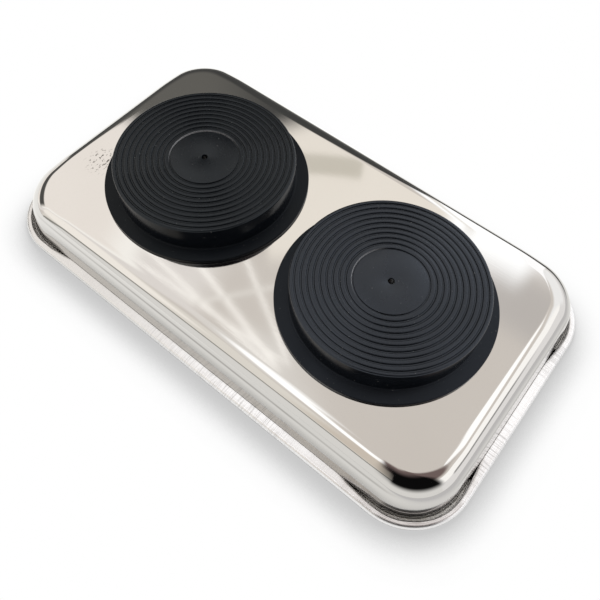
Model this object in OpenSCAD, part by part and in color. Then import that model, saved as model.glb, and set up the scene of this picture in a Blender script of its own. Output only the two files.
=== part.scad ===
// Magnetic parts tray: a drawn steel tray with a rolled rim, held on two ring
// magnets in rubber boots. Millimetres, +Z up. The origin lies on the surface
// that the boots stand on, midway between them.

/* [Tray] */
// Overall length over the rolled rim
tray_l = 240; // [220:1:320]
// Overall width over the rolled rim
tray_w = 138; // [126:1:200]
// Depth from the underside of the floor to the top of the rim
tray_h = 21; // [18:0.5:40]
// Thickness of the sheet
sheet_t = 0.6; // [0.4:0.1:1]
// Corner radius of the flat floor
floor_corner_r = 11.8; // [8:0.2:24]
// Outside bend radius between the floor and the wall
floor_bend_r = 9.5; // [6:0.5:11]
// Lean of the wall away from upright, in degrees
wall_lean = 12; // [2:1:16]

/* [Rolled rim] */
// Outside radius of the roll
roll_r = 2.1; // [1.6:0.1:2.4]
// Flat top between the two bends of the roll
roll_flat = 0.4; // [0.2:0.1:2]
// How far the roll turns on below its outermost point, in degrees
roll_turn = 135; // [90:5:140]

/* [Magnets] */
// Distance between the centres of the two magnets
magnet_spacing = 99; // [94:1:106]
// Outside diameter of a ring magnet
magnet_d = 75; // [66:1:76]
// Bore of a ring magnet
magnet_bore_d = 32; // [26:1:38]
// Thickness of a ring magnet
magnet_h = 10; // [9:0.5:15]

/* [Rubber boots] */
// Thickness of the gripping face under the magnet
face_t = 3; // [2.6:0.1:5]
// Thickness of the drum's wall round the magnet
boot_wall = 2.3; // [1.5:0.1:2.8]
// Gap between the magnet and the drum's wall
boot_gap = 0.2; // [0.1:0.05:0.5]
// Rounding of the drum's outer edge
drum_edge_r = 0.8; // [0.4:0.1:1.2]
// Width of the flange that lies on the tray
flange_w = 6; // [3:0.5:7]
// Thickness of the flange
flange_t = 1.6; // [1.2:0.1:3]
// Width of the inner lip that the magnet presses on the tray
lip_w = 4.5; // [2:0.5:8]
// Thickness of the inner lip
lip_t = 1; // [0.6:0.1:1.6]
// Radius of the groove round the centre disc
disc_groove_r = 15.2; // [8:0.2:16]
// Radius of the first ring groove
ring_groove_r = 17.8; // [17.2:0.1:24]
// Distance from one ring groove to the next
groove_pitch = 2.52; // [1.8:0.02:4]
// Width of a groove
groove_w = 0.7; // [0.4:0.1:1]
// Depth of a groove
groove_depth = 0.6; // [0.3:0.1:0.8]
// Diameter of the vent hole
vent_d = 2.7; // [1.5:0.1:5]

/* [Clamp cups] */
// Sheet thickness of a clamp cup
cup_t = 1.2; // [0.8:0.1:1.5]
// How far the cup's brim reaches under the magnet
cup_brim_w = 6; // [3:0.5:9]
// Gap between the cup and the magnet's bore
cup_gap = 0.4; // [0.2:0.1:1]
// Gap between the cup's crown and the tray
crown_gap = 2; // [1.2:0.1:2.6]

/* [Fasteners] */
// Nominal diameter of the screws
screw_d = 5; // [4:0.5:6]
// Added to the screw's diameter in every hole that it passes through
hole_gap = 0.4; // [0.2:0.1:1]
// Added to the screw's diameter in the nut
thread_gap = 0.1; // [0.05:0.05:0.3]
// Length of thread past the nut
screw_end = 2; // [0.5:0.5:2.5]
// Diameter of the screw head
head_d = 9.5; // [8:0.5:12]
// Height of the screw head
head_h = 3.2; // [2.4:0.1:4]
// Radius of the head's dome
head_dome_r = 7; // [6.5:0.5:12]
// Span of the cross recess
recess_l = 5.2; // [3:0.2:6]
// Width of the cross recess
recess_w = 1.1; // [0.6:0.1:1.6]
// Depth of the cross recess
recess_depth = 1.8; // [1:0.1:2.2]
// Outside diameter of the flat washers
washer_d = 15; // [11:0.5:20]
// Thickness of the flat washers
washer_t = 1; // [0.6:0.1:1.6]
// Outside diameter of the spring washers
spring_washer_d = 9; // [8:0.5:11]
// Thickness of the spring washers
spring_washer_t = 1.2; // [0.8:0.1:1.6]
// Width of the slit in the spring washers
slit_w = 0.8; // [0.4:0.1:1.2]
// Width across the flats of the nuts
nut_af = 8; // [7.5:0.5:10]
// Height of the nuts
nut_h = 4; // [3:0.1:5]

/* [Hidden] */
SIDES = ["left", "right"];
PIECES = [
    "rubber_boot", "ring_magnet", "clamp_cup", "screw",
    "flat_washer", "spring_washer", "nut"
];

$fn = 96;
// Angle between neighbouring points on the bends of the sheet
arc_step = 7.5;
// Overlap past a cut, so that no cut ends flush with a face
eps = 0.1;

// Heights in a boot, from the standing surface up
magnet_z = face_t;
lip_z = magnet_z + magnet_h;
tray_z = lip_z + lip_t;
crown_z = tray_z - crown_gap;
spring_washer_z = crown_z - cup_t - spring_washer_t;
nut_z = spring_washer_z - nut_h;
screw_z = nut_z - screw_end;
washer_z = tray_z + sheet_t;
head_z = washer_z + washer_t;

// Radii in a boot
cavity_r = magnet_d / 2 + boot_gap;
drum_r = cavity_r + boot_wall;
flange_r = drum_r + flange_w;
brim_r = magnet_bore_d / 2 + cup_brim_w;
barrel_r = magnet_bore_d / 2 - cup_gap;
// Plain band kept between the last groove and the drum's rounded edge
groove_margin = drum_edge_r + groove_w;
groove_radii = concat(
    [disc_groove_r],
    [for (r = ring_groove_r; r < drum_r - groove_margin; r = r + groove_pitch) r]
);

// Tray section, measured outward from the centre of a corner: the floor bend
// about bend_x, the wall along its lean, and the two bends of the rolled rim
bend_x = floor_corner_r;
roll_z = tray_h - roll_r;
bend_step = floor_bend_r + roll_r - sheet_t;
wall_l = (roll_z - floor_bend_r + bend_step * sin(wall_lean)) / cos(wall_lean);
turn_x = bend_x + bend_step * cos(wall_lean) + wall_l * sin(wall_lean);
roll_x = turn_x + roll_flat;
rim_corner_r = roll_x + roll_r;
// Half distances between the centres of the corners
corner_x = tray_l / 2 - rim_corner_r;
corner_y = tray_w / 2 - rim_corner_r;

// Points along an arc about a centre, from one angle to another
function arc(centre, r, from, to) =
    let (count = ceil(abs(to - from) / arc_step), step = (to - from) / count)
    [for (i = [0:count]) centre + r * [cos(from + i * step), sin(from + i * step)]];

function reversed(points) = [for (i = [len(points) - 1:-1:0]) points[i]];

// One face of the sheet, from the centre of a corner out to the cut edge of the
// roll: the outside face at depth 0, the inside face at the sheet's thickness
function sheet_face(depth) = concat(
    [[0, depth]],
    arc([bend_x, floor_bend_r], floor_bend_r - depth, -90, -wall_lean),
    arc([turn_x, roll_z], roll_r - sheet_t + depth, 180 - wall_lean, 90),
    arc([roll_x, roll_z], roll_r - sheet_t + depth, 90, -roll_turn)
);

module tray_section() {
    polygon(concat(sheet_face(0), reversed(sheet_face(sheet_t))));
}

// One quarter of the tray: floor, one corner, and the half sides that meet it
module tray_quarter() {
    cube([corner_x, corner_y, sheet_t]);
    translate([corner_x, corner_y, 0])
        rotate_extrude(angle = 90)
            tray_section();
    translate([corner_x, corner_y, 0])
        rotate([90, 0, 0])
            linear_extrude(height = corner_y)
                tray_section();
    translate([0, corner_y, 0])
        rotate([90, 0, 90])
            linear_extrude(height = corner_x)
                tray_section();
}

module tray() {
    color("gainsboro")
        difference() {
            translate([0, 0, tray_z])
                for (flip_x = [0, 1])
                    for (flip_y = [0, 1])
                        mirror([flip_x, 0, 0])
                            mirror([0, flip_y, 0])
                                tray_quarter();
            for (x = [-1, 1] * magnet_spacing / 2)
                translate([x, 0, tray_z - eps])
                    cylinder(d = screw_d + hole_gap, h = sheet_t + 2 * eps);
        }
}

// Half section of a boot, with its axis along Y
module boot_section() {
    difference() {
        union() {
            square([drum_r - drum_edge_r, drum_edge_r]);
            translate([0, drum_edge_r])
                square([drum_r, tray_z - drum_edge_r]);
            translate([drum_r - drum_edge_r, drum_edge_r])
                circle(drum_edge_r);
            translate([0, tray_z - flange_t])
                square([flange_r, flange_t]);
        }
        translate([-eps, magnet_z])
            square([cavity_r + eps, magnet_h]);
        translate([-eps, magnet_z])
            square([cavity_r - lip_w + eps, magnet_h + lip_t + eps]);
        translate([-eps, magnet_z - cup_t])
            square([brim_r + boot_gap + eps, cup_t + eps]);
        translate([-eps, -eps])
            square([vent_d / 2 + eps, face_t + eps]);
        for (r = groove_radii)
            translate([r - groove_w / 2, -eps])
                square([groove_w, groove_depth + eps]);
    }
}

module rubber_boot() {
    color([0.13, 0.14, 0.16])
        rotate_extrude()
            boot_section();
}

module ring_magnet() {
    color([0.25, 0.25, 0.27])
        translate([0, 0, magnet_z])
            difference() {
                cylinder(d = magnet_d, h = magnet_h);
                translate([0, 0, -eps])
                    cylinder(d = magnet_bore_d, h = magnet_h + 2 * eps);
            }
}

module clamp_cup() {
    color([0.72, 0.72, 0.7])
        difference() {
            union() {
                translate([0, 0, magnet_z - cup_t])
                    cylinder(r = brim_r, h = cup_t);
                translate([0, 0, magnet_z - cup_t])
                    cylinder(r = barrel_r, h = crown_z - magnet_z + cup_t);
            }
            translate([0, 0, magnet_z - cup_t - eps])
                cylinder(r = barrel_r - cup_t, h = crown_z - magnet_z + eps);
            translate([0, 0, crown_z - cup_t - eps])
                cylinder(d = screw_d + hole_gap, h = cup_t + 2 * eps);
        }
}

module screw() {
    color([0.78, 0.78, 0.76])
        difference() {
            union() {
                translate([0, 0, screw_z])
                    cylinder(d = screw_d, h = head_z - screw_z + eps);
                translate([0, 0, head_z])
                    intersection() {
                        cylinder(d = head_d, h = head_h);
                        translate([0, 0, head_h - head_dome_r])
                            sphere(head_dome_r);
                    }
            }
            for (turn = [0, 90])
                rotate(turn)
                    translate([-recess_l / 2, -recess_w / 2, head_z + head_h - recess_depth])
                        cube([recess_l, recess_w, recess_depth + eps]);
        }
}

// A flat ring that the screw passes through
module washer_ring(d, t) {
    difference() {
        cylinder(d = d, h = t);
        translate([0, 0, -eps])
            cylinder(d = screw_d + hole_gap, h = t + 2 * eps);
    }
}

module flat_washer() {
    color([0.78, 0.78, 0.76])
        translate([0, 0, washer_z])
            washer_ring(washer_d, washer_t);
}

module spring_washer() {
    color([0.55, 0.55, 0.55])
        translate([0, 0, spring_washer_z])
            difference() {
                washer_ring(spring_washer_d, spring_washer_t);
                translate([0, -slit_w / 2, -eps])
                    cube([spring_washer_d, slit_w, spring_washer_t + 2 * eps]);
            }
}

module nut() {
    color([0.7, 0.7, 0.68])
        translate([0, 0, nut_z])
            difference() {
                cylinder(d = nut_af / cos(30), h = nut_h, $fn = 6);
                translate([0, 0, -eps])
                    cylinder(d = screw_d + thread_gap, h = nut_h + 2 * eps);
            }
}

// One piece of a boot's set, chosen by its name
module piece(name) {
    if (name == "rubber_boot") rubber_boot();
    if (name == "ring_magnet") ring_magnet();
    if (name == "clamp_cup") clamp_cup();
    if (name == "screw") screw();
    if (name == "flat_washer") flat_washer();
    if (name == "spring_washer") spring_washer();
    if (name == "nut") nut();
}

tray();
for (i = [0, 1])
    for (p = PIECES)
        translate([(i - 0.5) * magnet_spacing, 0, 0])
                piece(p);
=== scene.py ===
from collections import namedtuple
import math

import bmesh
import bpy
import numpy as np
from mathutils import Matrix, Vector, noise


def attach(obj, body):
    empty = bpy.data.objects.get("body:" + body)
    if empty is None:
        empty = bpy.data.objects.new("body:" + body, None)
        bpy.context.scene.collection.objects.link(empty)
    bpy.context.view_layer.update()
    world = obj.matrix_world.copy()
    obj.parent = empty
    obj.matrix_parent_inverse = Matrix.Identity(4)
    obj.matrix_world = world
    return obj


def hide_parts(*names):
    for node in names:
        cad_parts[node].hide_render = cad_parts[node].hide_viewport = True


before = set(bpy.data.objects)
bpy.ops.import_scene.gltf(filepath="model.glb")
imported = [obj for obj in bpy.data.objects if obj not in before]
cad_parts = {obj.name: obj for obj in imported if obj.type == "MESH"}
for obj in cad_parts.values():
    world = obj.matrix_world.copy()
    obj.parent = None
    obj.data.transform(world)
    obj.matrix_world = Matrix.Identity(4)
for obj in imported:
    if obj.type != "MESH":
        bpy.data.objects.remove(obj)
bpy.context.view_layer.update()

# Sizes are in millimetres, as in the part's source, and meshes are made in metres.
MM = 0.001

# Tray
TRAY_LENGTH = 240.0
TRAY_WIDTH = 138.0
TRAY_HEIGHT = 21.0
TRAY_Z = 14.0
SHEET = 0.6
FLOOR_CORNER_R = 11.8
BEND_R = 9.5
WALL_LEAN = 12.0
ROLL_R = 2.1
ROLL_FLAT = 0.4

# Tray: the softer bends in its corners, and how they ease off along the rim
CORNER_BEND_R = 12.6
HALF_CORNER = 12.6
BEND_FADE = 12.0

# Tray: the rolled hem is flattened, rises towards the wall, and dips and gapes in the corners
HEM_R = 1.7
HEM_RISE = 0.2
HEM_DIP = 1.8
HEM_DIP_POWER = 5
HEM_GAP_SIDE = 0.04
HEM_GAP_CORNERS = (0.7, 0.9, 0.6, 0.45)
HEM_FADE = 18.0
OPEN_GAP = 0.4

# Tray: unevenness of the hem, as the size and length of its waves and the seed of their noise
Wave = namedtuple("Wave", "size length seed")
HEM_THIN = 0.05
CORNER_HEM_THIN = 0.07
THIN_WAVE = Wave(1.0, 4.5, 3)
GAP_WAVE = Wave(0.3, 5.0, 2)
CORNER_GAP_WAVE = Wave(0.1, 7.0, 1)
RISE_WAVE = Wave(0.10, 11.0, 4)
CORNER_RISE_WAVE = Wave(0.08, 3.2, 5)
SEED_STEP = (17.3, 5.1)

# Tray: heights of the painted reflected line and painted shade on its walls, and the corners' reach
# round each corner's centre
MIRRORED_LINE_Z = 19.8
MIRRORED_LINE_HALF = 0.8
WALL_SHADE_FROM = 20.5
WALL_SHADE_FULL = 24.5
CORNER_SHADE_FROM = 26.5
CORNER_SHADE_FULL = 30.5
CORNER_MASK_BEFORE = 6
CORNER_MASK_PAST = 8

# Tray: the middle of its scuffs, and how far from there they start and finish fading, in metres
SCUFFS_AT = (-0.0935, 0.0235, 0.014)
SCUFFS_FADE = (0.003, 0.010)

# Tray: how finely its mesh is divided
SIDE_STEP = 1.5
CORNER_STEPS = 32
BEND_STEPS = 22
WALL_STEPS = 5
TURN_STEPS = 8
HEM_STEPS = 18
HEM_FLAT_STEPS = 14
FLAT_RINGS = (0.0, 0.34, 0.68, 0.90, 0.97)

# Tray: places worked out from those sizes, with heights from the underside of its floor
ROLL_H = TRAY_HEIGHT - ROLL_R
LEAN = math.radians(WALL_LEAN)
WALL_RUN = BEND_R + ROLL_R - SHEET + (ROLL_H - BEND_R) * math.sin(LEAN)
TURN_R = FLOOR_CORNER_R + WALL_RUN / math.cos(LEAN)
ROLL_X = TURN_R + ROLL_FLAT
RIM_CORNER_R = ROLL_X + ROLL_R
WALL_FOOT_R = TURN_R - (ROLL_R - SHEET) * math.cos(LEAN)
WALL_FOOT_H = ROLL_H + (ROLL_R - SHEET) * math.sin(LEAN)
CORNER_X = TRAY_LENGTH / 2 - RIM_CORNER_R
CORNER_Y = TRAY_WIDTH / 2 - RIM_CORNER_R

# Rubber boots: heights count from the tray down to the gripping face
BOOT_SPACING = 99.0
BOOT_HEIGHT = 14.0
BOOT_SEGMENTS = 224
FACE_T = 3.0
DRUM_R = 40.0
DRUM_EDGE_R = 0.8
FLANGE_R = 46.0
FLANGE_T = 1.6
FLANGE_EDGE_R = 0.4
FLANGE_FOOT_R = 0.15
CAVITY_R = 37.7
LIP_R = 33.2
LIP_T = 1.0
VENT_R = 1.35
VENT_EDGE_R = 0.12
DISC_GROOVE_R = 15.2
RING_GROOVE_R = 17.8
RING_GROOVES = 9
GROOVE_PITCH = 2.52
GROOVE_W = 0.7
GROOVE_DEPTH = 0.6
GROOVE_FOOT_R = 0.2
GROOVE_SHOULDER = 0.36
DISC_SHOULDER = 0.15
BEAD_W = 0.5
BEAD_H = 0.3
BEAD_EDGE_R = 0.12
BEAD_FOOT_R = 0.1

# Rubber boots: roughness and gloss of each part, each boot's sheen, and where its rim gets a
# painted highlight
RUBBER_PARTS = {"face": (0.26, 0.47), "wall": (0.22, 0.32), "flange": (0.36, 0.21)}
# painted light: the same rubber gets a stronger, bluer sheen on the right boot than on the left
BootLook = namedtuple("BootLook", "sheen sheen_tint worn_towards worn_spread")
BOOT_LOOKS = {"left": BootLook(0.72, (0.82, 0.92, 1.0), 214, 95),
              "right": BootLook(1.30, (0.73, 0.83, 1.0), 172, 62)}
RIM_HIGHLIGHT_W = 0.2

# Materials: the values that most of a noise lies between
NOISE_RANGE = (0.3, 0.7)

# Floors: their shadows' reach in metres, the light left in them and the openness they fade over
PHOTO_SHADOW_REACH = 0.020
PHOTO_SHADOW_LIGHT = 0.58
BENCH_SHADOW_REACH = 0.07
BENCH_SHADOW_LIGHT = 0.20
FOOT_SHADOW_REACH = 0.008
FOOT_SHADOW_LIGHT = 0.05
SHADOW_FADE = (0.6, 1.0)
FOOT_SHADOW_FADE = (0.55, 0.87)
SHADOW_LEAN = Vector((-0.3, -0.45, -1)).normalized()

# Floors: half the bench's width in metres, and the photograph's rings round the mouth in mm
BENCH_HALF = 1.6
FLOOR_RINGS = (0, 20, 100, 1500)

# Photograph's floor: bright at the left, grey at the right and dark behind, with places in metres
FLOOR_PALE = (0.97, 0.96, 0.93)
FLOOR_BRIGHT = (1.12, 1.11, 1.08)
FLOOR_GREY = (0.72, 0.71, 0.71)
FLOOR_DARK = (0.08, 0.08, 0.075)
BRIGHT_X = (-0.14, 0.0)
GREY_X = (0.10, 0.19)
DARK_X = (0.13, 0.16)
DARK_Y = (-0.125, -0.105)

# Camera, in metres: the photograph shows the underside, so it stands below the tray
CAMERA_AT = Vector((0.09348, 0.11989, -0.20064))
CAMERA_AIM = Vector((0.02282, 0.02294, 0.014))
CAMERA_ROLL = 3.07
CAMERA_LENS = 36.24
CAMERA_CLIP = 0.01

# Surroundings: shapes in angles as sky() takes them; a softness is a share of the half width
Panel = namedtuple("Panel", "azimuths elevations soft")
Oval = namedtuple("Oval", "azimuths elevations soft")
Disc = namedtuple("Disc", "axis full gone")
Streak = namedtuple("Streak", "normal half")

# Surroundings that the upturned tray mirrors: each patch covers the ones before it
ROOM_TONE = (0.869, 0.810, 0.752)
LEFT_GLOW = (177, 26.5)
NEAR_GLOW = (271, -12)
ROOM_BACK = (
    # left side: a soft band overhead, and a round glow with a bright ring
    ((1.0, 0.96, 0.91), Panel((124, 236), (64, 80), (0.16, 0.2))),
    ((1.06, 1.01, 0.97), Disc(LEFT_GLOW, 38, 42)),
    ((1.34, 1.31, 1.25), Disc(LEFT_GLOW, 32, 34)),
    ((1.19, 1.12, 1.05), Disc(LEFT_GLOW, 29, 32)),
    # near side
    ((1.04, 0.992, 0.911), Panel((222, 290), (-20, 62), (0.2, 0.1))),
    ((1.28, 1.22, 1.14), Panel((216, 238), (14, 46), (0.25, 0.3))),
    ((0.85, 0.76, 0.66), Panel((256, 280), (38, 72), (0.5, 0.25))),
    # right side
    ((1.07, 1.05, 1.04), Panel((-40, 86), (-60, 40), (0.15, 0.1))),
    # overhead
    ((1.61, 1.61, 1.61), Panel((138, 287), (70, 81), (0.40, 0.45))),
    # right side again: bright bands, and a dull patch at their far end
    ((1.41, 1.39, 1.36), Panel((-6, 64), (26, 45), (0.14, 0.12))),
    ((1.24, 1.24, 1.24), Panel((56, 88), (10, 46), (0.3, 0.2))),
    ((1.57, 1.56, 1.55), Panel((36, 78), (52.5, 66), (0.14, 0.2))),
    ((0.72, 0.68, 0.65), Panel((82, 97), (52, 57), (0.4, 0.5))),
    # far side: a pale band with a line across it, then tall bright panels with a bar
    ((1.18, 1.11, 1.01), Panel((102, 132), (44, 57), (0.06, 0.2))),
    ((0.84, 0.79, 0.69), Panel((118.4, 128), (47.15, 48.95), (0.06, 0.3))),
    ((1.50, 1.50, 1.52), Panel((86, 92), (-80, 51.0), (0.2, 0.02))),
    ((1.57, 1.59, 1.61), Panel((91.5, 104.8), (-80, 53.0), (0.22, 0.025))),
    ((1.20, 1.17, 1.12), Panel((100.8, 102.4), (-5, 51), (0.6, 0.05))),
)

# A fan of thin streaks, which fades out round its middle
FAN_AXIS = (140, 59.5)
FAN_COSINES = (0.985, 0.992)
BRIGHT_STREAK = (1.5, 1.46, 1.40)
PALE_STREAK = (1.15, 1.11, 1.05)
FAN = (
    (BRIGHT_STREAK, Streak((83.9, -15.6), 0.006)),
    (BRIGHT_STREAK, Streak((74.7, -13.2), 0.008)),
    (BRIGHT_STREAK, Streak((60.0, -9.1), 0.006)),
    (BRIGHT_STREAK, Streak((92.7, -19.1), 0.005)),
    (PALE_STREAK, Streak((142.3, -29.9), 0.006)),
)

# A dark dome behind the far corner, lighter towards its top
DOME_DARK = (0.074, 0.074, 0.072)
DOME_LIGHT = (0.170, 0.165, 0.151)
DOME_LIGHT_AZIMUTHS = (128, 139)
DOME_LIGHT_ELEVATIONS = (10, 38)
DOME = (Oval((101.5, 164.5), (-46, 45.2), 0.03), Oval((127.4, 152.6), (22.6, 45.4), 0.12))

NEAR_PALE = (0.98, 0.967, 0.936)
NEAR_BROWN = (0.225, 0.165, 0.156)
ROOM_FRONT = (
    # left side: a dark band
    ((0.105, 0.103, 0.0967), Panel((154, 207), (9, 26), (0.18, 0.25))),
    # near side: a pale round with a dark rim
    ((0.34, 0.33, 0.30), Disc(NEAR_GLOW, 47.5, 50)),
    (NEAR_PALE, Disc(NEAR_GLOW, 43.5, 46)),
    (NEAR_PALE, Panel((276, 350), (-60, 31), (0.06, 0.06))),
    # near corner: a black patch with a brown fringe
    (NEAR_BROWN, Panel((276, 372), (58, 85), (0.06, 0.30))),
    (NEAR_BROWN, Oval((320, 394), (50, 80), 0.3)),
    ((0.00496, 0.00496, 0.00496), Panel((276, 354), (24.5, 74), (0.14, 0.40))),
    # right side: a grey patch
    ((0.397, 0.391, 0.384), Panel((14, 34), (20.5, 26.5), (0.3, 0.5))),
)

# Surroundings of the open top, and the heights over which they blend, then meet the room
TOP_ABOVE = (0.95, 0.95, 0.95)
TOP_LEVEL = (0.55, 0.54, 0.52)
TOP_BLEND = (-0.9, 0.0)
HORIZON_BLEND = (-0.03, 0.03)


# Mesh helpers

def new_object(name, data):
    obj = bpy.data.objects.new(name, data)
    bpy.context.scene.collection.objects.link(obj)
    return obj


def new_mesh(name, verts, faces, materials, slots=None):
    """A mesh with its materials; slots gives the number of each face's material."""
    mesh = bpy.data.meshes.new(name)
    mesh.from_pydata(verts, [], faces)
    for material in materials:
        mesh.materials.append(material)
    if slots is not None:
        mesh.polygons.foreach_set("material_index", slots)
    return mesh


def finish_mesh(mesh):
    """Joins doubled points, turns the faces outward and shades them smooth."""
    work = bmesh.new()
    work.from_mesh(mesh)
    bmesh.ops.remove_doubles(work, verts=work.verts, dist=1e-7)
    bmesh.ops.recalc_face_normals(work, faces=work.faces)
    for face in work.faces:
        face.smooth = True
    work.to_mesh(mesh)
    work.free()


def strip_faces(rows, count):
    """Faces between rows of points, row by row; the last row joins the first."""
    faces = []
    for i in range(rows):
        here, there = i * count, (i + 1) % rows * count
        faces += [(here + k, there + k, there + k + 1, here + k + 1) for k in range(count - 1)]
    return faces


def wobble(travel, wave):
    """A smooth value up to the wave's size from 0, which changes over about the wave's length."""
    where = (travel / wave.length, wave.seed * SEED_STEP[0], wave.seed * SEED_STEP[1])
    return wave.size * noise.noise(Vector(where))


def smooth_step(value):
    value = min(max(value, 0.0), 1.0)
    return value * value * (3 - 2 * value)


def between(first, last, t):
    return tuple(a + (b - a) * t for a, b in zip(first, last))


def arc_points(centre, radius, start, end, steps):
    angles = np.radians(np.linspace(start, end, steps + 1))
    return [(centre[0] + radius * math.cos(a), centre[1] + radius * math.sin(a)) for a in angles]


def rounded(corners, steps=4):
    """Rounds the corners of a closed outline: each corner is (x, y, radius)."""
    outline = []
    count = len(corners)
    for i, (x, y, radius) in enumerate(corners):
        here = Vector((x, y))
        if radius <= 0:
            outline.append((x, y))
            continue
        before = (Vector(corners[i - 1][:2]) - here).normalized()
        after = (Vector(corners[(i + 1) % count][:2]) - here).normalized()
        half = before.angle(after) / 2
        back = radius / math.tan(half)
        centre = here + (before + after).normalized() * (radius / math.sin(half))
        first = here + before * back - centre
        last = here + after * back - centre
        for k in range(steps + 1):
            outline.append(tuple(centre + first.slerp(last, k / steps) * radius))
    return outline


def lathe(name, outline, segments, centre, materials, slots):
    """Turns a closed outline of (radius, height below the centre) round an upright axis.

    slots gives the number of the material of each of the outline's edges.
    """
    verts = []
    faces = []
    count = len(outline)
    for s in range(segments):
        turn = 2 * math.pi * s / segments
        for radius, height in outline:
            verts.append((centre[0] + radius * MM * math.cos(turn),
                          centre[1] + radius * MM * math.sin(turn),
                          centre[2] - height * MM))
    for s in range(segments):
        here = s * count
        there = (s + 1) % segments * count
        for k in range(count):
            after = (k + 1) % count
            faces.append((here + k, here + after, there + after, there + k))
    mesh = new_mesh(name, verts, faces, materials, slots * segments)
    finish_mesh(mesh)
    return new_object(name, mesh)


# Tray

# A place round the tray: travel runs along the rim, corner and ease are 1 in a corner and 0 along
# a side, and gap is how far the rolled hem stops short of the wall
Station = namedtuple("Station", "x y angle travel corner ease gap")

# The hem at one place: its radius, its gap to the wall, its rise towards it and its end's dip
Hem = namedtuple("Hem", "radius gap rise dip")

# Numbers of the tray's materials
OUTER, DULL, ROLLED, INNER = range(4)


def bend_ease(from_middle):
    """The share of a corner's softer bend that is left this far along from its middle."""
    return smooth_step(1 - from_middle / (HALF_CORNER + BEND_FADE))


def tray_path():
    """Stations round the tray, in order."""
    corners = [(CORNER_X, CORNER_Y), (-CORNER_X, CORNER_Y),
               (-CORNER_X, -CORNER_Y), (CORNER_X, -CORNER_Y)]
    stations = []
    travel = 0.0
    for i, corner in enumerate(corners):
        for k in range(CORNER_STEPS):
            t = k / CORNER_STEPS
            ease = bend_ease(abs(t - 0.5) * 2 * HALF_CORNER)
            stations.append(Station(*corner, 90.0 * (i + t), travel, 1.0, ease,
                                    HEM_GAP_CORNERS[i]))
            travel += math.radians(90.0 / CORNER_STEPS) * RIM_CORNER_R
        following = (i + 1) % len(corners)
        length = math.dist(corner, corners[following])
        steps = round(length / SIDE_STEP)
        for k in range(steps):
            t = k / steps
            near_end = min(t, 1 - t) * length
            fade = 1 - smooth_step(near_end / HEM_FADE)
            corner_gap = HEM_GAP_CORNERS[i if t < 0.5 else following]
            stations.append(Station(*between(corner, corners[following], t), 90.0 * (i + 1),
                                    travel, fade, bend_ease(HALF_CORNER + near_end),
                                    HEM_GAP_SIDE + (corner_gap - HEM_GAP_SIDE) * fade))
            travel += length / steps
    return stations


def tray_point(station, radius, height):
    """A point in metres at a station: radius counts from its corner's centre."""
    angle = math.radians(station.angle)
    return ((station.x + radius * math.cos(angle)) * MM,
            (station.y + radius * math.sin(angle)) * MM,
            (TRAY_Z + height) * MM)


def hem_shape(station):
    """The hem at a station, slightly uneven and more so in the corners."""
    travel, corner = station.travel, station.corner
    thinner = (HEM_THIN + CORNER_HEM_THIN * corner) * (1 + wobble(travel, THIN_WAVE)) / 2
    wider = wobble(travel, GAP_WAVE) + corner * wobble(travel, CORNER_GAP_WAVE)
    higher = wobble(travel, RISE_WAVE) + corner * wobble(travel, CORNER_RISE_WAVE)
    return Hem(HEM_R - thinner, station.gap * (1 + wider), HEM_RISE + higher, HEM_DIP * corner)


def sheet_face(depth, bend_r, hem):
    """One face of the sheet's section, from the floor to the end of the hem: depth 0 is outside."""
    flat_edge = FLOOR_CORNER_R - (bend_r - BEND_R) * math.tan(math.pi / 4 - LEAN / 2)
    points = [(flat_edge * t, depth) for t in FLAT_RINGS]
    points += arc_points((flat_edge, bend_r), bend_r - depth, -90, -WALL_LEAN, BEND_STEPS)
    turned = arc_points((TURN_R, ROLL_H), ROLL_R - SHEET + depth, 180 - WALL_LEAN, 90, TURN_STEPS)
    wall_start = points[-1]
    for k in range(1, WALL_STEPS + 1):
        points.append(between(wall_start, turned[0], k / (WALL_STEPS + 1)))
    points += turned
    # the hem turns outward over the rim's edge, then runs back and stops short of the wall
    middle = (RIM_CORNER_R - hem.radius, TRAY_HEIGHT - hem.radius)
    points += arc_points(middle, hem.radius - SHEET + depth, 90, -90, HEM_STEPS)
    start_r, start_h = points[-1]
    end_h = start_h - hem.rise + hem.dip
    end_r = WALL_FOOT_R - (WALL_FOOT_H - end_h) * math.tan(LEAN) + hem.gap
    for k in range(1, HEM_FLAT_STEPS + 1):
        t = k / HEM_FLAT_STEPS
        height = start_h - hem.rise * smooth_step(t) + hem.dip * t ** HEM_DIP_POWER
        points.append((start_r + (end_r - start_r) * t, height))
    return points


def section_slots(station, count):
    """Materials round the sheet's section: the turn behind the hem is dull where the hem gapes, and
    its light colour there is painted light.
    """
    turn_start = len(FLAT_RINGS) + BEND_STEPS + 1 + WALL_STEPS
    hem_start = turn_start + TURN_STEPS + 1
    dull_start = turn_start if station.gap > OPEN_GAP else hem_start
    rolled_start = count // 2
    inner_start = count - hem_start - 1
    return ([OUTER] * dull_start + [DULL] * (rolled_start - dull_start)
            + [ROLLED] * (inner_start - rolled_start) + [INNER] * (count - 1 - inner_start))


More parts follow.
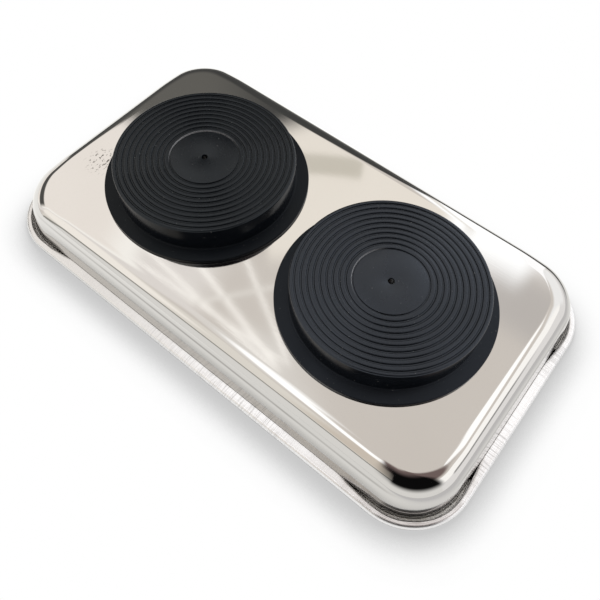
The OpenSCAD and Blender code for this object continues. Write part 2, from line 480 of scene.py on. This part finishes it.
def make_tray():
    stations = tray_path()
    verts = []
    slots = []
    for station in stations:
        bend_r = BEND_R + (CORNER_BEND_R - BEND_R) * station.ease
        hem = hem_shape(station)
        section = sheet_face(0.0, bend_r, hem) + sheet_face(SHEET, bend_r, hem)[::-1]
        verts += [tray_point(station, radius, height) for radius, height in section]
        slots += section_slots(station, len(section))
    faces = strip_faces(len(stations), len(section))
    # the flat middle of the floor, between the corner centres
    columns = round(2 * CORNER_X / SIDE_STEP)
    rows = round(2 * CORNER_Y / SIDE_STEP)
    for depth, slot in ((0.0, OUTER), (SHEET, INNER)):
        first = len(verts)
        for i in range(columns + 1):
            for j in range(rows + 1):
                verts.append((CORNER_X * (1 - 2 * i / columns) * MM,
                              CORNER_Y * (1 - 2 * j / rows) * MM,
                              (TRAY_Z + depth) * MM))
        for i in range(columns):
            for j in range(rows):
                a = first + i * (rows + 1) + j
                faces.append((a, a + 1, a + rows + 2, a + rows + 1))
                slots.append(slot)
    materials = [polished_steel("outer_steel_finish", True), dull_steel(), rolled_steel(),
                 polished_steel("inner_steel_finish", False)]
    mesh = new_mesh("tray_sheet", verts, faces, materials, slots)
    finish_mesh(mesh)
    tray = new_object("tray_sheet", mesh)
    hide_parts("tray")
    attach(tray, "root")


# Rubber boots

# Numbers of a boot's materials, in the order of RUBBER_PARTS
FACE, WALL, FLANGE = range(3)


def boot_outline():
    """Closed outline of a boot's section: (radius, height below the tray, corner rounding)."""
    face = BOOT_HEIGHT
    corners = [(VENT_R, face - FACE_T, 0), (VENT_R, face, VENT_EDGE_R)]
    grooves = [(DISC_GROOVE_R, DISC_SHOULDER)]
    grooves += [(RING_GROOVE_R + GROOVE_PITCH * n, GROOVE_SHOULDER) for n in range(RING_GROOVES)]
    for middle, shoulder in grooves:
        corners += [(middle - GROOVE_W / 2, face, shoulder),
                    (middle - GROOVE_W / 2, face - GROOVE_DEPTH, GROOVE_FOOT_R),
                    (middle + GROOVE_W / 2, face - GROOVE_DEPTH, GROOVE_FOOT_R),
                    (middle + GROOVE_W / 2, face, shoulder)]
    corners += [(DRUM_R, face, DRUM_EDGE_R),
                (DRUM_R, FLANGE_T + BEAD_H, BEAD_FOOT_R),
                (DRUM_R + BEAD_W, FLANGE_T + BEAD_H, BEAD_EDGE_R),
                (DRUM_R + BEAD_W, FLANGE_T, BEAD_FOOT_R),
                (FLANGE_R, FLANGE_T, FLANGE_EDGE_R),
                (FLANGE_R, 0, FLANGE_FOOT_R),
                (LIP_R, 0, 0),
                (LIP_R, LIP_T, 0),
                (CAVITY_R, LIP_T, 0),
                (CAVITY_R, face - FACE_T, 0)]
    return rounded(corners)


def boot_rubbers(side, x):
    """The materials of a boot's gripping face, its drum's wall and its flange, in that order."""
    look = BOOT_LOOKS[side]
    rubbers = []
    for part, (rough, gloss) in RUBBER_PARTS.items():
        # only the gripping face gets the painted rim highlight
        rim_highlight = (x, look.worn_towards, look.worn_spread) if part == "face" else None
        rubbers.append(black_rubber(side + "_" + part + "_finish", rough, gloss * look.sheen,
                                    look.sheen_tint, rim_highlight))
    return rubbers


def make_boot(side, x):
    outline = boot_outline()
    slots = []
    for here, after in zip(outline, outline[1:] + outline[:1]):
        height = min(here[1], after[1])
        on_face = height > BOOT_HEIGHT - DRUM_EDGE_R
        on_wall = height > FLANGE_T + BEAD_H
        slots.append(FACE if on_face else WALL if on_wall else FLANGE)
    boot = lathe(side + "_boot_rubber", outline, BOOT_SEGMENTS, (x * MM, 0.0, TRAY_Z * MM),
                 boot_rubbers(side, x), slots)
    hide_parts(side + "_rubber_boot")
    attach(boot, "root")


# Node helpers

def new_material(name):
    """A material, its node tree and its Principled shader."""
    mat = bpy.data.materials.new(name)
    mat.use_nodes = True
    return mat, mat.node_tree, mat.node_tree.nodes["Principled BSDF"]


def feed(tree, socket, value):
    """Sets a socket to a constant, or links another node's socket to it."""
    if isinstance(value, bpy.types.NodeSocket):
        tree.links.new(value, socket)
    else:
        socket.default_value = value


def add(tree, kind, settings=None, **inputs):
    """Adds a node; inputs are numbers, or sockets of other nodes to link."""
    node = tree.nodes.new(kind)
    for key, value in (settings or {}).items():
        setattr(node, key, value)
    for key, value in inputs.items():
        feed(tree, node.inputs[key.replace("_", " ")], value)
    return node


def calc(tree, operation, *values):
    node = add(tree, "ShaderNodeMath", {"operation": operation})
    for socket, value in zip(node.inputs, values):
        feed(tree, socket, value)
    return node.outputs["Value"]


def vector_calc(tree, operation, *vectors):
    """A vector sum; the result is a vector, or a number for a dot product, length or distance."""
    node = add(tree, "ShaderNodeVectorMath", {"operation": operation})
    for socket, vector in zip(node.inputs, vectors):
        feed(tree, socket, vector)
    is_number = operation in ("DOT_PRODUCT", "LENGTH", "DISTANCE")
    return node.outputs["Value" if is_number else "Vector"]


def place(tree, stretch=(1, 1, 1)):
    """Coordinates in metres on the object, stretched."""
    coords = add(tree, "ShaderNodeTexCoord").outputs["Object"]
    return add(tree, "ShaderNodeMapping", Vector=coords, Scale=stretch).outputs["Vector"]


def split(tree, vector):
    """The three sockets of a vector."""
    return add(tree, "ShaderNodeSeparateXYZ", Vector=vector).outputs


def grain(tree, scale, detail=3.0, stretch=(1, 1, 1)):
    """Noise from 0 to 1, with about this many features per metre."""
    return add(tree, "ShaderNodeTexNoise", Vector=place(tree, stretch),
               Scale=scale, Detail=detail).outputs["Fac"]


def ramp(tree, value, low, high, out_low, out_high):
    """Maps a value smoothly from one range to another."""
    node = add(tree, "ShaderNodeMapRange", {"interpolation_type": "SMOOTHSTEP"}, Value=value,
               From_Min=low, From_Max=high, To_Min=out_low, To_Max=out_high)
    return node.outputs["Result"]


def uneven(tree, clouds, low, high):
    """A value that follows the clouds of a noise, from low to high."""
    return ramp(tree, clouds, *NOISE_RANGE, low, high)


def mix_value(tree, factor, first, second):
    node = add(tree, "ShaderNodeMix", {"data_type": "FLOAT"})
    for number, value in ((0, factor), (2, first), (3, second)):
        feed(tree, node.inputs[number], value)
    return node.outputs[0]


def mix_colour(tree, factor, first, second):
    node = add(tree, "ShaderNodeMix", {"data_type": "RGBA"})
    for number, value in ((0, factor), (6, first), (7, second)):
        feed(tree, node.inputs[number], value)
    return node.outputs[2]


def mix_shader(tree, factor, first, second):
    node = add(tree, "ShaderNodeMixShader")
    for socket, value in zip(node.inputs, (factor, first, second)):
        feed(tree, socket, value)
    return node.outputs["Shader"]


def colour(r, g, b):
    return (r, g, b, 1.0)


def surface(tree, shader, tint, rough, metallic=0.0):
    """Links a shader's colour and roughness, and sets how metallic it is."""
    tree.links.new(tint, shader.inputs["Base Color"])
    tree.links.new(rough, shader.inputs["Roughness"])
    shader.inputs["Metallic"].default_value = metallic


def bump(tree, shader, height, strength, distance):
    node = add(tree, "ShaderNodeBump", Height=height, Strength=strength, Distance=distance)
    tree.links.new(node.outputs["Normal"], shader.inputs["Normal"])


# Materials

def marks_and_painted_shade(tree, tint, rough):
    """Adds the scuffs, a painted reflected line and painted shade on the outside of the tray to a
    colour and roughness, and gives both back.
    """
    x, y, z = split(tree, place(tree))
    # dark colours for the scuffs and the painted reflected line, and for the painted shade
    scuff_and_reflection_dark = colour(0.16, 0.15, 0.14)
    painted_shade_dark = colour(0.125, 0.122, 0.112)
    # scuffs beside the left boot
    from_scuffs = vector_calc(tree, "DISTANCE", place(tree), SCUFFS_AT)
    near_scuffs = ramp(tree, from_scuffs, *SCUFFS_FADE, 1.0, 0.0)
    flecks = ramp(tree, grain(tree, 1100.0, 5.0, (1.0, 0.6, 1.0)), 0.56, 0.61, 0.0, 0.85)
    scuffs = calc(tree, "MULTIPLY", near_scuffs, flecks)
    tint = mix_colour(tree, scuffs, tint, scuff_and_reflection_dark)
    rough = calc(tree, "MULTIPLY_ADD", scuffs, 0.4, rough)
    # a painted reflection: a thin dark line along the straight walls
    towards_corner = [ramp(tree, calc(tree, "ABSOLUTE", along),
                           (centre - CORNER_MASK_BEFORE) * MM, (centre + CORNER_MASK_PAST) * MM,
                           0.0, 1.0)
                      for along, centre in ((x, CORNER_X), (y, CORNER_Y))]
    in_corner = calc(tree, "MULTIPLY", *towards_corner)
    from_line = calc(tree, "ABSOLUTE", calc(tree, "SUBTRACT", z, MIRRORED_LINE_Z * MM))
    on_line = ramp(tree, from_line, 0.0, MIRRORED_LINE_HALF * MM, 1.0, 0.0)
    on_side = calc(tree, "SUBTRACT", 1.0, in_corner)
    patchy = ramp(tree, grain(tree, 25.0, 2.0), 0.35, 0.6, 0.25, 0.55)
    # painted reflection: the line fades in patches and is left out of the corners
    painted_reflected_line = calc(tree, "MULTIPLY", calc(tree, "MULTIPLY", on_line, on_side), patchy)
    tint = mix_colour(tree, painted_reflected_line, tint, scuff_and_reflection_dark)
    # painted shade: darker beside the rim all round, and darker still there in the corners
    wall_shade = ramp(tree, z, WALL_SHADE_FROM * MM, WALL_SHADE_FULL * MM, 0.0, 0.2)
    beside_rim = ramp(tree, z, CORNER_SHADE_FROM * MM, CORNER_SHADE_FULL * MM, 0.0, 0.45)
    painted_shade = calc(tree, "MULTIPLY_ADD", beside_rim, in_corner, wall_shade)
    return mix_colour(tree, painted_shade, tint, painted_shade_dark), rough


def polished_steel(name, marked):
    """Bright sheet with rubbing lines along its floor, with or without the outside's scuffs,
    painted reflection and painted shade.
    """
    mat, tree, shader = new_material(name)
    clouds = grain(tree, 30.0)
    tint = mix_colour(tree, clouds, colour(0.645, 0.633, 0.617), colour(0.677, 0.669, 0.657))
    rough = uneven(tree, clouds, 0.035, 0.055)
    if marked:
        tint, rough = marks_and_painted_shade(tree, tint, rough)
    surface(tree, shader, tint, rough, 1.0)
    z = split(tree, place(tree))["Z"]
    on_floor = ramp(tree, z, (TRAY_Z + SHEET) * MM, (TRAY_Z + 2 * SHEET) * MM, 1.0, 0.0)
    lines = calc(tree, "MULTIPLY", grain(tree, 1.0, 2.0, (150, 1800, 1800)), on_floor)
    bump(tree, shader, lines, strength=0.06, distance=0.00003)
    return mat


def rolled_steel():
    """The rolled rim: patches of short press marks that run across it, and painted shade that
    darkens it towards the left.
    """
    mat, tree, shader = new_material("rolled_steel_finish")
    fine, coarse = 2200, 90
    # places from -1 to 1 along each side tell the long sides from the short ones
    to_sides = (2 / (TRAY_LENGTH * MM), 2 / (TRAY_WIDTH * MM), 1)
    x, y, _ = split(tree, place(tree, to_sides))
    over_sides = calc(tree, "SUBTRACT", calc(tree, "ABSOLUTE", y), calc(tree, "ABSOLUTE", x))
    on_long_side = ramp(tree, over_sides, -0.06, 0.06, 0.0, 1.0)
    marks = mix_value(tree, on_long_side, grain(tree, 1.0, 1.0, (coarse, fine, coarse)),
                      grain(tree, 1.0, 1.0, (fine, coarse, coarse)))
    patches = ramp(tree, grain(tree, 22.0, 1.0), 0.45, 0.65, 0.15, 0.8)
    strokes = calc(tree, "MULTIPLY", ramp(tree, marks, 0.32, 0.56, 1.0, 0.0), patches)
    # painted shade: the rim's colour darker towards the left
    brighter = ramp(tree, x, -0.55, 0.25, 0.0, 1.0)
    tint = mix_colour(tree, brighter, colour(0.69, 0.69, 0.69), colour(0.86, 0.86, 0.875))
    tint = mix_colour(tree, strokes, tint, colour(0.64, 0.64, 0.65))
    surface(tree, shader, tint, ramp(tree, strokes, 0.0, 1.0, 0.30, 0.40), 1.0)
    bump(tree, shader, grain(tree, 120.0, 1.5), strength=0.1, distance=0.00003)
    return mat


def dull_steel():
    """The inside of the hem, which the polishing doesn't reach; its light colour is also painted
    light that lifts the dark gap behind the hem.
    """
    mat, tree, shader = new_material("dull_steel_finish")
    clouds = grain(tree, 300.0)
    tint = mix_colour(tree, clouds, colour(0.86, 0.85, 0.83), colour(0.90, 0.89, 0.87))
    surface(tree, shader, tint, uneven(tree, clouds, 0.55, 0.7), 0.35)
    return mat


def painted_rim_highlight(tree, x, towards, spread):
    """1 along part of the rim round a boot's centre disc, where a pale highlight is painted, and 0
    elsewhere.

    The part's middle lies in one direction, and it reaches the spread to each side, in degrees.
    """
    from_axis = vector_calc(tree, "SUBTRACT", place(tree), (x * MM, 0, 0))
    flat = vector_calc(tree, "MULTIPLY", from_axis, (1, 1, 0))
    radius = vector_calc(tree, "LENGTH", flat)
    angle = math.radians(towards)
    along = vector_calc(tree, "DOT_PRODUCT", flat, (math.cos(angle), math.sin(angle), 0))
    part = ramp(tree, calc(tree, "DIVIDE", along, radius), math.cos(math.radians(spread)),
                math.cos(math.radians(spread / 3)), 0.0, 1.0)
    wall = DISC_GROOVE_R + GROOVE_W / 2
    outside = ramp(tree, radius, (wall - RIM_HIGHLIGHT_W) * MM, (wall - RIM_HIGHLIGHT_W / 2) * MM, 0.0, 1.0)
    inside = ramp(tree, radius, wall * MM, (wall + RIM_HIGHLIGHT_W) * MM, 1.0, 0.0)
    return calc(tree, "MULTIPLY", calc(tree, "MULTIPLY", outside, inside), part)


def black_rubber(name, rough, gloss, gloss_tint, rim_highlight):
    """Moulded rubber: a fine grain, slightly uneven sheen and a few specks of dust.

    Its last argument says where a pale highlight is painted on the centre disc's rim, in the form
    the rim highlight function takes, or is None.
    """
    mat, tree, shader = new_material(name)
    clouds = grain(tree, 60.0, 4.0)
    tint = mix_colour(tree, clouds, colour(0.0022, 0.0028, 0.0040), colour(0.0044, 0.0056, 0.008))
    dust = ramp(tree, grain(tree, 1300.0, 2.0), 0.735, 0.76, 0.0, 0.5)
    tint = mix_colour(tree, dust, tint, colour(0.30, 0.30, 0.29))
    # painted highlight: a pale arc on part of the centre disc's rim
    if rim_highlight is not None:
        tint = mix_colour(tree, painted_rim_highlight(tree, *rim_highlight), tint, colour(0.21, 0.21, 0.22))
    surface(tree, shader, tint, uneven(tree, clouds, rough - 0.05, rough + 0.05))
    # painted light: the sheen and its tint differ from boot to boot
    shader.inputs["Specular IOR Level"].default_value = gloss
    shader.inputs["Specular Tint"].default_value = colour(*gloss_tint)
    bump(tree, shader, grain(tree, 2600.0), strength=0.25, distance=0.00006)
    return mat


def zinc_steel():
    mat, tree, shader = new_material("zinc_steel_finish")
    clouds = grain(tree, 500.0)
    tint = mix_colour(tree, clouds, colour(0.62, 0.63, 0.64), colour(0.76, 0.76, 0.74))
    surface(tree, shader, tint, uneven(tree, clouds, 0.22, 0.36), 1.0)
    return mat


def ferrite():
    mat, tree, shader = new_material("ferrite_finish")
    grit = grain(tree, 1500.0, 4.0)
    tint = mix_colour(tree, grit, colour(0.05, 0.05, 0.055), colour(0.10, 0.10, 0.105))
    surface(tree, shader, tint, uneven(tree, grit, 0.5, 0.75))
    return mat


def dress_nodes(side, materials):
    """Gives the pieces inside a boot their materials."""
    for piece, material in materials.items():
        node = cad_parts[side + "_" + piece]
        node.data.materials.clear()
        node.data.materials.append(material)


# Stage: one pale floor under the upturned tray, and another under the boots for the other views

def photo_floor_tone(tree):
    """The colour of the photograph's floor, as mirrors find it."""
    x, y, _ = split(tree, place(tree))
    tone = mix_colour(tree, ramp(tree, x, *BRIGHT_X, 1.0, 0.0),
                      colour(*FLOOR_PALE), colour(*FLOOR_BRIGHT))
    tone = mix_colour(tree, ramp(tree, x, *GREY_X, 0.0, 1.0), tone, colour(*FLOOR_GREY))
    past_edge = calc(tree, "MULTIPLY", ramp(tree, y, *DARK_Y, 1.0, 0.0),
                     ramp(tree, x, *DARK_X, 1.0, 0.0))
    return mix_colour(tree, past_edge, tone, colour(*FLOOR_DARK))


def floor_material(name, reach, light_left, in_photo):
    """A pale floor seen from one side, with a soft shadow near the object.

    Mirrors find only a narrow shadow at its foot.
    """
    mat = bpy.data.materials.new(name)
    mat.use_nodes = True
    tree = mat.node_tree
    tree.nodes.clear()
    near = add(tree, "ShaderNodeAmbientOcclusion", {"samples": 16}, Distance=reach)
    foot = add(tree, "ShaderNodeAmbientOcclusion", {"samples": 8}, Distance=FOOT_SHADOW_REACH)
    tone = colour(*FLOOR_PALE)
    if in_photo:
        axis = add(tree, "ShaderNodeCombineXYZ", X=SHADOW_LEAN.x, Y=SHADOW_LEAN.y, Z=SHADOW_LEAN.z)
        tree.links.new(axis.outputs["Vector"], near.inputs["Normal"])
        tone = photo_floor_tone(tree)
    shadow = ramp(tree, near.outputs["AO"], *SHADOW_FADE, light_left, 1.0)
    foot_shadow = ramp(tree, foot.outputs["AO"], *FOOT_SHADOW_FADE, FOOT_SHADOW_LIGHT, 1.0)
    seen = add(tree, "ShaderNodeEmission", Strength=shadow).outputs["Emission"]
    mirrored = add(tree, "ShaderNodeEmission", Color=tone, Strength=foot_shadow).outputs["Emission"]
    clear = add(tree, "ShaderNodeBsdfTransparent").outputs["BSDF"]
    to_camera = add(tree, "ShaderNodeLightPath").outputs["Is Camera Ray"]
    from_behind = add(tree, "ShaderNodeNewGeometry").outputs["Backfacing"]
    front = mix_shader(tree, to_camera, mirrored, seen)
    add(tree, "ShaderNodeOutputMaterial", Surface=mix_shader(tree, from_behind, front, clear))
    return mat


def make_photo_floor():
    """The floor under the upturned rim: it faces down and has a hole like the tray's mouth."""
    path = tray_path()
    mouth_r = RIM_CORNER_R - ROLL_R
    verts = [tray_point(station, mouth_r + step, TRAY_HEIGHT)
             for station in path for step in FLOOR_RINGS]
    material = floor_material("photo_floor", PHOTO_SHADOW_REACH, PHOTO_SHADOW_LIGHT, True)
    mesh = new_mesh("photo_floor", verts, strip_faces(len(path), len(FLOOR_RINGS)), [material])
    floor = new_object("photo_floor", mesh)
    floor.visible_shadow = False


def make_bench_floor():
    """The floor under the boots, which only the camera sees."""
    corners = [(-BENCH_HALF, -BENCH_HALF, 0), (BENCH_HALF, -BENCH_HALF, 0),
               (BENCH_HALF, BENCH_HALF, 0), (-BENCH_HALF, BENCH_HALF, 0)]
    material = floor_material("bench_floor", BENCH_SHADOW_REACH, BENCH_SHADOW_LIGHT, False)
    floor = new_object("bench_floor", new_mesh("bench_floor", corners, [(0, 1, 2, 3)], [material]))
    floor.visible_shadow = False
    floor.visible_glossy = False
    floor.visible_diffuse = False
    floor.visible_transmission = False


def sky(azimuth, elevation):
    """A direction above the tray as it lies face down.

    Azimuth 0 is +X and 90 is -Y, and elevation is towards -Z, in degrees.
    """
    a, e = math.radians(azimuth), math.radians(elevation)
    return Vector((math.cos(e) * math.cos(a), -math.cos(e) * math.sin(a), -math.sin(e)))


class Surroundings:
    """Shapes in a world's node tree: each is 1 in the directions it covers, and 0 elsewhere."""

    def __init__(self, tree):
        self.tree = tree
        self.look = add(tree, "ShaderNodeTexCoord").outputs["Generated"]
        x, y, self.height = split(tree, vector_calc(tree, "MULTIPLY", self.look, (1, -1, -1)))
        self.azimuth = calc(tree, "DEGREES", calc(tree, "ARCTAN2", y, x))
        self.elevation = calc(tree, "DEGREES", calc(tree, "ARCSINE", self.height))

    def cover(self, shape):
        shapes = {Panel: self.panel, Oval: self.oval, Disc: self.disc, Streak: self.streak}
        return shapes[type(shape)](*shape)

    def offset(self, angle, first, last):
        """How far an angle is from the middle of a range, where 1 is the range's end."""
        middle, half = (first + last) / 2, (last - first) / 2
        away = calc(self.tree, "DIVIDE", calc(self.tree, "SUBTRACT", angle, middle), half)
        return calc(self.tree, "ABSOLUTE", away)

    def offsets(self, azimuths, elevations):
        middle = sum(azimuths) / 2
        turned = calc(self.tree, "WRAP", self.azimuth, middle + 180, middle - 180)
        return self.offset(turned, *azimuths), self.offset(self.elevation, *elevations)

    def panel(self, azimuths, elevations, soft):
        edges = [ramp(self.tree, offset, 1 - edge, 1 + edge, 1.0, 0.0)
                 for offset, edge in zip(self.offsets(azimuths, elevations), soft)]
        return calc(self.tree, "MULTIPLY", *edges)

    def oval(self, azimuths, elevations, soft):
        squares = [calc(self.tree, "MULTIPLY", offset, offset)
                   for offset in self.offsets(azimuths, elevations)]
        away = calc(self.tree, "SQRT", calc(self.tree, "ADD", *squares))
        return ramp(self.tree, away, 1 - soft, 1 + soft, 1.0, 0.0)

    def disc(self, axis, full, gone):
        """A round patch, full inside one angle from its axis and gone outside another."""
        near = vector_calc(self.tree, "DOT_PRODUCT", self.look, sky(*axis))
        return ramp(self.tree, near, math.cos(math.radians(gone)), math.cos(math.radians(full)),
                    0.0, 1.0)

    def streak(self, normal, half):
        """A thin straight streak, square to its normal."""
        away = vector_calc(self.tree, "DOT_PRODUCT", self.look, sky(*normal))
        return ramp(self.tree, calc(self.tree, "ABSOLUTE", away), 0.0, half, 1.0, 0.0)


def make_world():
    """Pale surroundings for both sides of the tray; white where the camera sees them."""
    world = bpy.data.worlds.new("studio")
    bpy.context.scene.world = world
    world.use_nodes = True
    tree = world.node_tree
    tree.nodes.clear()
    around = Surroundings(tree)
    # the side that lights the underside
    room = colour(*ROOM_TONE)
    for tone, shape in ROOM_BACK:
        room = mix_colour(tree, around.cover(shape), room, colour(*tone))
    from_fan = vector_calc(tree, "DOT_PRODUCT", around.look, sky(*FAN_AXIS))
    in_fan = ramp(tree, from_fan, *FAN_COSINES, 0.0, 1.0)
    for tone, shape in FAN:
        streak = calc(tree, "MULTIPLY", around.cover(shape), in_fan)
        room = mix_colour(tree, streak, room, colour(*tone))
    lighter = calc(tree, "MULTIPLY",
                   ramp(tree, around.elevation, *DOME_LIGHT_ELEVATIONS, 0.0, 1.0),
                   ramp(tree, around.azimuth, *DOME_LIGHT_AZIMUTHS, 0.0, 1.0))
    dome = mix_colour(tree, lighter, colour(*DOME_DARK), colour(*DOME_LIGHT))
    for shape in DOME:
        room = mix_colour(tree, around.cover(shape), room, dome)
    for tone, shape in ROOM_FRONT:
        room = mix_colour(tree, around.cover(shape), room, colour(*tone))
    # the side that lights the open top
    above = ramp(tree, around.height, *TOP_BLEND, 1.0, 0.0)
    top = mix_colour(tree, above, colour(*TOP_LEVEL), colour(*TOP_ABOVE))
    both = mix_colour(tree, ramp(tree, around.height, *HORIZON_BLEND, 0.0, 1.0), top, room)
    to_camera = add(tree, "ShaderNodeLightPath").outputs["Is Camera Ray"]
    shown = mix_colour(tree, to_camera, both, colour(1, 1, 1))
    back = add(tree, "ShaderNodeBackground", Color=shown)
    add(tree, "ShaderNodeOutputWorld", Surface=back.outputs["Background"])


def make_light(name, direction, distance, size, power):
    """A round soft light that faces the origin, and that mirrors and the camera don't show."""
    light = bpy.data.lights.new(name, "AREA")
    light.shape = "DISK"
    light.size = size
    light.energy = power
    obj = new_object(name, light)
    obj.location = direction * distance
    obj.rotation_euler = direction.to_track_quat("Z", "Y").to_euler()
    obj.visible_camera = False
    obj.visible_glossy = False


def make_camera():
    camera = bpy.data.cameras.new("camera")
    camera.lens = CAMERA_LENS
    camera.clip_start = CAMERA_CLIP
    obj = new_object("camera", camera)
    back = (CAMERA_AT - CAMERA_AIM).normalized()
    right = Vector((0, 0, -1)).cross(back).normalized()
    up = back.cross(right)
    turn = Matrix((right, up, back)).transposed().to_4x4()
    roll = Matrix.Rotation(math.radians(CAMERA_ROLL), 4, "Z")
    obj.matrix_world = Matrix.Translation(CAMERA_AT) @ turn @ roll
    bpy.context.scene.camera = obj


make_tray()
zinc = zinc_steel()
inner_materials = {"ring_magnet": ferrite(), "clamp_cup": zinc, "screw": zinc,
                   "flat_washer": zinc, "spring_washer": zinc, "nut": zinc}
for side, x in (("left", -BOOT_SPACING / 2), ("right", BOOT_SPACING / 2)):
    make_boot(side, x)
    dress_nodes(side, inner_materials)

make_photo_floor()
make_bench_floor()
make_world()
make_light("window_light", sky(60, 35), distance=0.7, size=0.5, power=3.0)
make_light("top_light", Vector((-0.4, -0.5, 0.8)).normalized(), distance=0.8, size=0.6, power=4.0)
make_camera()
bpy.context.scene.view_settings.view_transform = "Standard"

bpy.context.view_layer.update()
